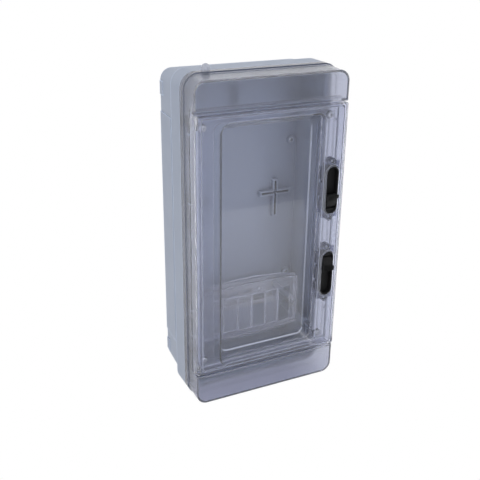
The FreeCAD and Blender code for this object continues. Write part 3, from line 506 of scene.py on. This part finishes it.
def base_plastic(name, moulding, look):
    """Grey moulded plastic with a painted highlight along sharp edges and painted shade in narrow slots and
    corners.
    """
    material, tree, shader, coordinates = new_material(name)
    effects = use_group(tree, moulding, coordinates)
    # Painted shade in the narrow slots, from how closed in each place is
    slots = remap(tree, openness(tree, look.cavity_reach), *CAVITY_RANGE, 1.0 - look.painted_slot_shade, 1.0)
    # Painted shade in the inner corners near the base's walls
    corners = remap(tree, openness(tree, look.corner_reach), *CORNER_RANGE, 1.0 - look.painted_corner_shade, 1.0)
    tone = remap(tree, effects["Tone"], -1.0, 1.0, 1.0 - BASE_TONE, 1.0 + BASE_TONE)
    # Painted highlight: paler colour along the base's sharp edges
    shade = edge_mask(tree, look.base_edge, 1.0, 1.0 + look.painted_edge_highlight)
    for factor in (slots, corners, tone):
        shade = value_step(tree, "MULTIPLY", shade, factor)
    tinted = scaled(tree, look.base_grey, shade)
    link(tree, tinted, shader.inputs["Base Color"])
    # Painted glow: back faces emit the base's colour, standing in for light that reaches the rim under the
    # flange
    link(tree, tinted, shader.inputs["Emission Color"])
    behind = tree.nodes.new("ShaderNodeNewGeometry").outputs["Backfacing"]
    link(tree, value_step(tree, "MULTIPLY", behind, look.painted_backface_glow), shader.inputs["Emission Strength"])
    marked_roughness(tree, shader, effects, look.base_roughness)
    add_bump(tree, shader, effects["Grain"], GRAIN_STRENGTH, look.fine_grain)
    return material


def clear_plastic(name, moulding, look, tint, frost, milkiness, painted_edge_glow, window=None):
    """Clear moulded polycarbonate, textured outside the polished window where there is one, with a painted
    glow along its sharp edges.
    """
    material, tree, shader, coordinates = new_material(name)
    effects = use_group(tree, moulding, coordinates)
    shader.inputs["Transmission Weight"].default_value = 1.0 - milkiness
    shader.inputs["Emission Color"].default_value = (*look.painted_glow_tint, 1.0)
    tone = remap(tree, effects["Tone"], -1.0, 1.0, 1.0 - CLEAR_TONE, 1.0)
    haze = remap(tree, effects["Marks"], 0.0, 1.0, 0.0, CLEAR_HAZE)
    # Painted glow: emission along the sharp edges, in place of light piped through the plastic
    glow = edge_mask(tree, look.clear_edge, 0.0, painted_edge_glow)
    body = scaled(tree, tint, tone)
    level = frost
    index = look.frosted_ior
    if window is not None:
        masks = use_group(tree, window, coordinates)
        inside = masks["Inside"]
        body = blended(tree, inside, body, scaled(tree, look.window_tint, tone))
        level = remap(tree, inside, 0.0, 1.0, frost, look.polish)
        index = remap(tree, inside, 0.0, 1.0, look.frosted_ior, look.polished_ior)
        # Painted highlight: a glowing line at the foot of the dish's walls, brightest where they face up and
        # a little left
        slope_normal = tree.nodes.new("ShaderNodeTexCoord").outputs["Normal"]
        facing = vector_step(tree, "DOT_PRODUCT", slope_normal, PAINTED_LINE_FROM).outputs["Value"]
        lit = remap(tree, facing, *PAINTED_LINE_RANGE, 0.0, painted_edge_glow)
        line = value_step(tree, "MULTIPLY", masks["Floor edge"], lit)
        glow = value_step(tree, "MAXIMUM", glow, line)
    link(tree, body, shader.inputs["Base Color"])
    link(tree, value_step(tree, "ADD", haze, level), shader.inputs["Roughness"])
    feed(tree, index, shader.inputs["IOR"])
    link(tree, glow, shader.inputs["Emission Strength"])
    add_bump(tree, shader, effects["Waves"], WAVES_STRENGTH, WAVES_HEIGHT)
    return material


def plated_metal(name, moulding, tint):
    """Zinc-plated steel with a cloudy passivated sheen."""
    material, tree, shader, coordinates = new_material(name)
    marks = use_group(tree, moulding, coordinates)["Marks"]
    cloud = remap(tree, marks, 0.0, 1.0, 1.0, ZINC_CLOUD)
    link(tree, scaled(tree, tint, cloud), shader.inputs["Base Color"])
    shader.inputs["Metallic"].default_value = 1.0
    link(tree, remap(tree, marks, 0.0, 1.0, *ZINC_ROUGHNESS), shader.inputs["Roughness"])
    return material


def finish_name(slot):
    """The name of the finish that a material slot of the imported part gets."""
    return slot + "_finish"


class METERBOX_OT_finishes(bpy.types.Operator):
    """Makes the materials and gives them to the pieces that keep their CAD form"""
    bl_idname = "meterbox.finishes"
    bl_label = "Finish the shells"

    def execute(self, context):
        look = context.scene.meter_box_finish
        moulding = moulding_group()
        window = window_group(context.scene.meter_box_sizes)
        made = {
            "base_grey": base_plastic(finish_name("base_grey"), moulding, look),
            "clear_plastic": clear_plastic(finish_name("clear_plastic"), moulding, look, look.clear_tint,
                                           look.frost, look.milkiness, look.painted_edge_glow),
            "latch_black": moulded_plastic(finish_name("latch_black"), moulding, look.latch_black,
                                           look.opaque_sheen, look.latch_roughness, look.latch_tone,
                                           look.fine_grain),
            "seal_rubber": moulded_plastic(finish_name("seal_rubber"), moulding, look.seal_grey,
                                           look.opaque_sheen, look.seal_roughness, look.seal_tone,
                                           look.seal_grain),
            "zinc_steel": plated_metal(finish_name("zinc_steel"), moulding, look.zinc),
        }
        inner_plastic = clear_plastic("inner_cover_finish", moulding, look, look.clear_tint, look.polish,
                                      look.inner_milkiness, look.inner_painted_edge_glow)
        frame_plastic = clear_plastic("latch_frame_finish", moulding, look, look.frame_tint, look.frost,
                                      look.milkiness, look.painted_edge_glow)
        own = {
            "door": clear_plastic("door_finish", moulding, look, look.clear_tint, look.door_frost,
                                  look.milkiness, look.painted_edge_glow, window),
            "seal_stud": clear_plastic("seal_stud_finish", moulding, look, look.clear_tint, look.frost,
                                       look.stud_milkiness, look.painted_edge_glow),
            "breaker_cover": inner_plastic,
            "module_blanks": inner_plastic,
            "upper_latch_frame": frame_plastic,
            "lower_latch_frame": frame_plastic,
        }
        for name, node in nodes.items():
            for slot in node.material_slots:
                slot.material = own.get(name, made[slot_of[name]])
        return {"FINISHED"}


def add_piece(name, shape, stands_for):
    """Turns a finished shape into a piece that rides with the body of the CAD node it stands for."""
    bmesh.ops.remove_doubles(shape, verts=shape.verts, dist=MERGE_DISTANCE)
    bmesh.ops.recalc_face_normals(shape, faces=shape.faces)
    mesh = bpy.data.meshes.new(name)
    shape.to_mesh(mesh)
    shape.free()
    mesh.shade_smooth()
    mesh.set_sharp_from_angle(angle=math.radians(SHARP_DEGREES))
    mesh.materials.append(bpy.data.materials[finish_name(slot_of[stands_for])])
    piece = bpy.data.objects.new(name, mesh)
    bpy.context.scene.collection.objects.link(piece)
    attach(piece, body_of[stands_for])
    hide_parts(stands_for)


def round_edges(shape, edges, radius, segments=3):
    bmesh.ops.bevel(shape, geom=edges, offset=radius, offset_type="OFFSET", segments=segments, profile=0.5,
                    affect="EDGES", material=-1, clamp_overlap=True)


def sharp_edges(shape):
    least = math.radians(ROUNDED_DEGREES)
    return [edge for edge in shape.edges if edge.is_manifold and edge.calc_face_angle() > least]


def corners_among(items):
    return [item for item in items if isinstance(item, bmesh.types.BMVert)]


def flat_face(shape, corners):
    return shape.faces.new([shape.verts.new(corner) for corner in corners])


def thicken(shape, faces):
    """Makes a closed block of flat faces and gives the corners of its far side, still to be moved."""
    return corners_among(bmesh.ops.extrude_face_region(shape, geom=faces, use_keep_orig=True)["geom"])


def add_prism(shape, corners, step):
    """A closed prism from a flat ring of corners and the vector to its far end."""
    far = thicken(shape, [flat_face(shape, corners)])
    bmesh.ops.translate(shape, vec=step, verts=far)


def add_cylinder(shape, radius, depth, matrix):
    """A closed cylinder whose axis is the matrix's third axis."""
    bmesh.ops.create_cone(shape, cap_ends=True, segments=CYLINDER_SEGMENTS, radius1=radius, radius2=radius,
                          depth=depth, matrix=matrix)


def ring_of_edges(shape, corners):
    verts = [shape.verts.new(corner) for corner in corners]
    return [shape.edges.new(pair) for pair in zip(verts, verts[1:] + verts[:1])]


class METERBOX_OT_pins(bpy.types.Operator):
    """Models the hinge and latch pins with rounded ends"""
    bl_idname = "meterbox.pins"
    bl_label = "Model the pins"

    def execute(self, context):
        sizes = context.scene.meter_box_sizes
        for node in ("lower_hinge_pin", "upper_hinge_pin", "lower_latch_pin", "upper_latch_pin"):
            low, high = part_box(node)
            spread = high - low
            shape = bmesh.new()
            add_cylinder(shape, min(spread) / 2, max(spread), Matrix.Identity(4))
            rims = [edge for edge in shape.edges if any(len(face.verts) > 4 for face in edge.link_faces)]
            round_edges(shape, rims, sizes.pin_round)
            if spread.x > spread.z:
                bmesh.ops.rotate(shape, matrix=Matrix.Rotation(math.pi / 2, 3, "Y"), verts=shape.verts)
            bmesh.ops.translate(shape, vec=(low + high) / 2, verts=shape.verts)
            add_piece(node + "_rounded", shape, node)
        return {"FINISHED"}


class METERBOX_OT_screws(bpy.types.Operator):
    """Models the screws with pan heads, cross recesses and threads"""
    bl_idname = "meterbox.screws"
    bl_label = "Model the screws"

    def execute(self, context):
        sizes = context.scene.meter_box_sizes
        for node, head, shank in (("cover_screws", sizes.cover_head, sizes.cover_shank),
                                  ("breaker_cover_screws", sizes.inner_head, sizes.inner_shank),
                                  ("din_rail_screws", sizes.rail_head, sizes.rail_shank),
                                  ("latch_frame_screws", sizes.clamp_head, sizes.clamp_shank)):
            low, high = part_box(node)
            one = self.one_screw(head, shank, high.y - low.y, sizes.thread_length)
            turn = Matrix.Identity(4)
            start = low.y
            places_x = {round(low.x + head, PLACE_DIGITS), round(high.x - head, PLACE_DIGITS)}
            places_z = {round(low.z + head, PLACE_DIGITS), round(high.z - head, PLACE_DIGITS)}
            if node == "latch_frame_screws":
                turn = Matrix.Rotation(math.pi, 4, "X")
                start = high.y
                frames = [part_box(latch) for latch in ("upper_latch_frame", "lower_latch_frame")]
                places_z = {z for frame_low, frame_high in frames
                            for z in (frame_low.z + sizes.clamp_lug, frame_high.z - sizes.clamp_lug)}
            shape = bmesh.new()
            for x in places_x:
                for z in places_z:
                    first = len(shape.verts)
                    shape.from_mesh(one)
                    shape.verts.ensure_lookup_table()
                    bmesh.ops.transform(shape, matrix=Matrix.Translation((x, start, z)) @ turn,
                                        verts=shape.verts[first:])
            bpy.data.meshes.remove(one)
            add_piece(node + "_threaded", shape, node)
        return {"FINISHED"}

    def one_screw(self, head, shank, reach, thread_length):
        """A screw along +Y with its crown at the origin, as a mesh to copy."""
        height = HEAD_HEIGHT * head
        core = CORE_RADIUS * shank
        crown = head - height / 2
        outline = [(crown, 0), (head - DOME_INSET * height, DOME_RISE * height), (head, RIM_RISE * height),
                   (head, height), (core, height), (core, reach - shank), (TIP_RADIUS * core, reach)]
        shape = bmesh.new()
        verts = [shape.verts.new((radius, y, 0)) for radius, y in outline]
        edges = [shape.edges.new(pair) for pair in zip(verts, verts[1:])]
        bmesh.ops.spin(shape, geom=verts + edges, cent=(0, 0, 0), axis=(0, 1, 0), dvec=(0, 0, 0),
                       angle=2 * math.pi, steps=SPIN_STEPS, use_merge=True, use_duplicate=False)
        tip_y = reach - PLANE_TOLERANCE
        tip = [edge for edge in shape.edges if all(vert.co.y > tip_y for vert in edge.verts)]
        bmesh.ops.holes_fill(shape, edges=tip, sides=0)
        rim = [edge for edge in shape.edges if all(vert.co.y < PLANE_TOLERANCE for vert in edge.verts)]
        self.cut_cross(shape, rim, head, height)
        self.wind_thread(shape, core, shank, max(height, reach - thread_length), reach - shank)
        bmesh.ops.recalc_face_normals(shape, faces=shape.faces)
        mesh = bpy.data.meshes.new("one_screw")
        shape.to_mesh(mesh)
        shape.free()
        return mesh

    def cut_cross(self, shape, rim, head, height):
        """Fills the crown and sinks a tapered cross into it."""
        half = CROSS_HALF_WIDTH * head
        arm = CROSS_ARM * head
        quarter = [(half, half), (half, arm), (-half, arm)]
        cross = []
        for turn in range(4):
            spin = Matrix.Rotation(turn * math.pi / 2, 2)
            cross += [spin @ Vector(point) for point in quarter]
        depth = CROSS_DEPTH * height
        mouth = ring_of_edges(shape, [(x, 0, z) for x, z in cross])
        floor = ring_of_edges(shape, [(CROSS_TAPER * x, depth, CROSS_TAPER * z) for x, z in cross])
        bmesh.ops.triangle_fill(shape, use_beauty=True, edges=rim + mouth)
        bmesh.ops.bridge_loops(shape, edges=mouth + floor)
        bmesh.ops.holes_fill(shape, edges=floor, sides=0)

    def wind_thread(self, shape, core, shank, start, end):
        """A sharp ridge wound round the shank and closed at both ends."""
        pitch = THREAD_PITCH * shank
        turns = int((end - start) / pitch) - 1
        root = THREAD_ROOT * core
        width = RIDGE_WIDTH * pitch
        ridge = [(root, start, 0), (shank, start + width / 2, 0), (root, start + width, 0)]
        edges = ring_of_edges(shape, ridge)
        first = [edge.verts[0] for edge in edges]
        wound = bmesh.ops.spin(shape, geom=first + edges, cent=(0, 0, 0), axis=(0, 1, 0),
                               dvec=(0, pitch / THREAD_STEPS, 0), angle=2 * math.pi * turns,
                               steps=THREAD_STEPS * turns)
        shape.faces.new(first)
        shape.faces.new(corners_among(wound["geom_last"]))


class METERBOX_OT_rail(bpy.types.Operator):
    """Models the module rail as bent sheet with slots along its channel"""
    bl_idname = "meterbox.rail"
    bl_label = "Model the rail"

    def execute(self, context):
        sizes = context.scene.meter_box_sizes
        low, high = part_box("din_rail")
        middle_z = (low.z + high.z) / 2
        sheet = sizes.rail_sheet
        half = sizes.rail_crown / 2
        shape = bmesh.new()
        for side in (-1, 1):
            near = middle_z + side * (half - sheet)
            far = middle_z + side * half
            tip = middle_z + side * (high.z - low.z) / 2
            profile = [(low.y, tip), (low.y, near), (high.y - sheet, near), (high.y - sheet, far),
                       (low.y + sheet, far), (low.y + sheet, tip)]
            add_prism(shape, [(low.x, y, z) for y, z in profile], (high.x - low.x, 0, 0))
        along = [edge for edge in sharp_edges(shape) if abs(edge.verts[0].co.x - edge.verts[1].co.x) > half]
        round_edges(shape, along, BEND_ROUND * sheet, BEND_SEGMENTS)
        self.add_web(shape, sizes, low, high, middle_z, half)
        add_piece("din_rail_slotted", shape, "din_rail")
        return {"FINISHED"}

    def add_web(self, shape, sizes, low, high, middle_z, half):
        """The flat of the channel, filled round its slots and screw holes and given its thickness."""
        rings = [[(low.x, middle_z - half), (high.x, middle_z - half), (high.x, middle_z + half),
                  (low.x, middle_z + half)]]
        rings += [self.slot(x, middle_z, sizes.slot_length, sizes.slot_width)
                  for x in (-sizes.slot_pitch, 0, sizes.slot_pitch)]
        rings += [self.slot(x, middle_z, 2 * sizes.rail_shank, 2 * sizes.rail_shank)
                  for x in (-sizes.rail_screw, sizes.rail_screw)]
        edges = [edge for ring in rings for edge in ring_of_edges(shape, [(x, high.y, z) for x, z in ring])]
        filled = bmesh.ops.triangle_fill(shape, use_beauty=True, edges=edges)["geom"]
        faces = [item for item in filled if isinstance(item, bmesh.types.BMFace)]
        bmesh.ops.translate(shape, vec=(0, -sizes.rail_sheet, 0), verts=thicken(shape, faces))

    def slot(self, x, z, full_length, width):
        """The ring of a level slot with round ends."""
        radius = width / 2
        reach = full_length / 2 - radius
        ring = []
        for side in (1, -1):
            for step in range(SLOT_STEPS + 1):
                turn = math.pi * (step / SLOT_STEPS - 0.5) * side
                ring.append((x + side * (reach + radius * math.cos(turn)), z + radius * math.sin(turn)))
        return ring


class METERBOX_OT_levers(bpy.types.Operator):
    """Models the latch levers with rounded edges"""
    bl_idname = "meterbox.levers"
    bl_label = "Model the latch levers"

    def execute(self, context):
        sizes = context.scene.meter_box_sizes
        for latch, direction in (("upper_latch", 1), ("lower_latch", -1)):
            node = latch + "_lever"
            low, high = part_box(node)
            pivot = pivot_of[latch]
            face_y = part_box(latch + "_case")[0].y
            inner, tip = (low.z, high.z) if direction > 0 else (high.z, low.z)
            tip_reach = direction * (tip - pivot.z)
            swing = direction * (pivot.z - inner)
            half_tab = (high.x - low.x) / 2
            shape = bmesh.new()
            self.add_wedge(shape, sizes, pivot, face_y, low.y, tip_reach, swing,
                           half_tab - sizes.tab_overhang, direction)
            self.add_tab(shape, sizes, pivot, face_y, low.y, tip_reach, swing, half_tab, direction)
            round_edges(shape, sharp_edges(shape), sizes.lever_round)
            self.add_hook(shape, sizes, pivot, high.y, direction)
            add_piece(node + "_rounded", shape, node)
        return {"FINISHED"}

    def add_wedge(self, shape, sizes, pivot, face_y, tip_y, tip_reach, swing, half_width, direction):
        """The finger piece: round about the pivot, sloping out to its tip and stepped there."""
        back = face_y - pivot.y
        outline = []
        last = math.asin(-back / swing)
        for step in range(WEDGE_STEPS + 1):
            turn = last * step / WEDGE_STEPS
            outline.append((-swing * math.cos(turn), -swing * math.sin(turn)))
        outline += [(tip_reach, tip_y - pivot.y),
                    (tip_reach - sizes.lever_undercut, back + sizes.lever_lip), (sizes.hub_radius, 0)]
        corners = [(pivot.x - half_width, pivot.y + y, pivot.z + direction * z) for z, y in outline]
        add_prism(shape, corners, (2 * half_width, 0, 0))

    def add_tab(self, shape, sizes, pivot, face_y, tip_y, tip_reach, swing, half_tab, direction):
        """The wide tip in front of the cup, its top in line with the wedge's slope."""
        slope_start = -math.sqrt(swing ** 2 - (face_y - pivot.y) ** 2)
        slope = (tip_y - face_y) / (tip_reach - slope_start)
        half_plan = [(half_tab - sizes.tab_overhang, sizes.tab_setback),
                     (half_tab, sizes.tab_setback + sizes.tab_flare),
                     (half_tab, tip_reach - sizes.tab_corner), (half_tab - sizes.tab_corner, tip_reach)]
        plan = half_plan + [(-x, z) for x, z in reversed(half_plan)]
        under = [(pivot.x + x, face_y - sizes.tab_gap, pivot.z + direction * z) for x, z in plan]
        for vert in thicken(shape, [flat_face(shape, under)]):
            vert.co.y = face_y + slope * (direction * (vert.co.z - pivot.z) - slope_start)

    def add_hook(self, shape, sizes, pivot, end_y, direction):
        """The hub on the pin and the arm whose hook goes behind the cover's ledge."""
        half_arm = sizes.arm_thickness / 2
        hook_y = end_y - sizes.hook_length
        outline = [(half_arm, pivot.y), (half_arm, end_y), (-half_arm, end_y),
                   (-half_arm - sizes.hook_reach, hook_y + sizes.hook_reach),
                   (-half_arm - sizes.hook_reach, hook_y), (-half_arm, hook_y), (-half_arm, pivot.y)]
        corners = [(pivot.x - sizes.arm_width / 2, y, pivot.z + direction * z) for z, y in outline]
        add_prism(shape, corners, (sizes.arm_width, 0, 0))
        hub = Matrix.Translation(pivot) @ Matrix.Rotation(math.pi / 2, 4, "Y")
        add_cylinder(shape, sizes.hub_radius, sizes.arm_width, hub)


def area_lamp(name, place, target, size, power):
    lamp = bpy.data.lights.new(name, "AREA")
    lamp.size = size
    lamp.energy = power
    holder = bpy.data.objects.new(name, lamp)
    holder.location = place
    holder.rotation_euler = (Vector(target) - Vector(place)).to_track_quat("-Z", "Y").to_euler()
    bpy.context.scene.collection.objects.link(holder)
    return holder


def either(tree, sockets):
    """One where any of the given flags is one."""
    result = sockets[0]
    for socket in sockets[1:]:
        result = value_step(tree, "MAXIMUM", result, socket)
    return result


def floor_white():
    """White floor with a painted shadow near the box and painted shade far behind it, both seen only through
    the clear plastic.
    """
    material, tree, shader, coordinates = new_material("floor_white")
    tone = remap(tree, noise(tree, coordinates, FLOOR_SCALE), 0.0, 1.0, *FLOOR_TONE)
    link(tree, scaled(tree, WHITE, tone), shader.inputs["Base Color"])
    shader.inputs["Roughness"].default_value = FLOOR_ROUGHNESS
    path = tree.nodes.new("ShaderNodeLightPath").outputs
    # Painted shadow under the box and painted shade far back, only on rays through the clear plastic
    centre = (*PAINTED_SHADOW_CENTRE, cad_box[0][2])
    reach = vector_step(tree, "DISTANCE", coordinates, centre).outputs["Value"]
    near_box = remap(tree, reach, *PAINTED_SHADOW_NEAR, 1.0, 0.0)
    far_back = remap(tree, reach, *PAINTED_SHADE_FAR, 0.0, PAINTED_SHADE_FAR_SHARE)
    floor_shade = value_step(tree, "MAXIMUM", near_box, far_back)
    through = value_step(tree, "MULTIPLY", floor_shade, path["Is Transmission Ray"])
    glow = tree.nodes.new("ShaderNodeEmission")
    link(tree, blended(tree, through, WHITE, PAINTED_SHADOW_TINT), glow.inputs["Color"])
    seen = either(tree, [path["Is Camera Ray"], path["Is Glossy Ray"], path["Is Transmission Ray"]])
    surface = mixed_shaders(tree, seen, shader.outputs["BSDF"], glow.outputs["Emission"])
    link(tree, surface, tree.nodes["Material Output"].inputs["Surface"])
    return material


def background(tree, tint, strength=1.0):
    node = tree.nodes.new("ShaderNodeBackground")
    feed(tree, tint, node.inputs["Color"])
    node.inputs["Strength"].default_value = strength
    return node.outputs["Background"]


class METERBOX_OT_stage(bpy.types.Operator):
    """Sets up the camera, the white floor, the lamps and the surround"""
    bl_idname = "meterbox.stage"
    bl_label = "Set the stage"

    def execute(self, context):
        scene = context.scene
        studio = scene.meter_box_studio
        self.place_camera(scene, studio)
        self.lay_floor(scene, studio)
        self.light_world(scene, studio)
        area_lamp("key_lamp", studio.key_place, LAMP_TARGET, studio.key_size, studio.key_light)
        area_lamp("fill_lamp", studio.fill_place, LAMP_TARGET, studio.fill_size, studio.fill_light)
        low_lamp = area_lamp("low_lamp", studio.low_place, LOW_TARGET, studio.low_size, studio.low_light)
        low_lamp.visible_glossy = False
        scene.view_settings.view_transform = "Standard"
        return {"FINISHED"}

    def place_camera(self, scene, studio):
        data = bpy.data.cameras.new("camera")
        data.lens = studio.lens
        data.sensor_width = SENSOR_WIDTH
        camera = bpy.data.objects.new("camera", data)
        level = math.cos(studio.camera_pitch)
        back = Vector((math.sin(studio.camera_yaw) * level, -math.cos(studio.camera_yaw) * level,
                       math.sin(studio.camera_pitch)))
        turn = (-back).to_track_quat("-Z", "Y") @ Quaternion((0, 0, 1), studio.camera_roll)
        camera.matrix_world = Matrix.Translation(studio.camera_place) @ turn.to_matrix().to_4x4()
        scene.collection.objects.link(camera)
        scene.camera = camera

    def lay_floor(self, scene, studio):
        shape = bmesh.new()
        bmesh.ops.create_grid(shape, x_segments=1, y_segments=1, size=1.0)
        half_depth = (FLOOR_BACK + studio.table_front) / 2
        middle = (0, (FLOOR_BACK - studio.table_front) / 2, cad_box[0][2] - FLOOR_GAP)
        bmesh.ops.scale(shape, vec=(FLOOR_SIDE, half_depth, 1), verts=shape.verts)
        bmesh.ops.translate(shape, vec=middle, verts=shape.verts)
        mesh = bpy.data.meshes.new("floor")
        shape.to_mesh(mesh)
        shape.free()
        mesh.materials.append(floor_white())
        floor = bpy.data.objects.new("floor", mesh)
        scene.collection.objects.link(floor)

    def light_world(self, scene, studio):
        """Even light, white behind the box, and a dark room below the table's edge in reflections."""
        world = bpy.data.worlds.new("surround")
        scene.world = world
        world.use_nodes = True
        tree = world.node_tree
        tree.nodes.clear()
        path = tree.nodes.new("ShaderNodeLightPath").outputs
        direction = tree.nodes.new("ShaderNodeTexCoord").outputs["Generated"]
        below = remap(tree, axis_of(tree, direction, "Z"), *DARK_BELOW, 1.0, 0.0)
        rightward = remap(tree, axis_of(tree, direction, "X"), *DARK_RIGHT, DARK_LEFT_SHARE, 1.0)
        dark = value_step(tree, "MULTIPLY", below, rightward)
        lightness = value_step(tree, "SUBTRACT", 1.0, dark)
        mirrored = background(tree, scaled(tree, WHITE, lightness))
        even = background(tree, (*SKY_TINT, 1.0), studio.world_light)
        glossy = mixed_shaders(tree, path["Is Glossy Ray"], even, mirrored)
        seen = either(tree, [path["Is Camera Ray"], path["Is Transmission Ray"]])
        surface = mixed_shaders(tree, seen, glossy, background(tree, (*WHITE, 1.0)))
        link(tree, surface, tree.nodes.new("ShaderNodeOutputWorld").inputs["Surface"])


class METERBOX_PT_panel(bpy.types.Panel):
    """Lists the steps that dress the box"""
    bl_idname = "METERBOX_PT_panel"
    bl_label = "Meter box"
    bl_space_type = "VIEW_3D"
    bl_region_type = "UI"
    bl_category = "Meter box"

    def draw(self, context):
        for step in steps:
            self.layout.operator(step.bl_idname)


steps = (METERBOX_OT_finishes, METERBOX_OT_pins, METERBOX_OT_screws, METERBOX_OT_rail, METERBOX_OT_levers,
         METERBOX_OT_stage)
groups = (MeterBoxFinish, MeterBoxSizes, MeterBoxStudio)


def register():
    for cls in groups + steps + (METERBOX_PT_panel,):
        bpy.utils.register_class(cls)
    bpy.types.Scene.meter_box_finish = PointerProperty(type=MeterBoxFinish)
    bpy.types.Scene.meter_box_sizes = PointerProperty(type=MeterBoxSizes)
    bpy.types.Scene.meter_box_studio = PointerProperty(type=MeterBoxStudio)


def unregister():
    del bpy.types.Scene.meter_box_studio
    del bpy.types.Scene.meter_box_sizes
    del bpy.types.Scene.meter_box_finish
    for cls in reversed(groups + steps + (METERBOX_PT_panel,)):
        bpy.utils.unregister_class(cls)


def main():
    register()
    bpy.ops.meterbox.finishes()
    bpy.ops.meterbox.pins()
    bpy.ops.meterbox.screws()
    bpy.ops.meterbox.rail()
    bpy.ops.meterbox.levers()
    bpy.ops.meterbox.stage()


if __name__ == "__main__":
    main()
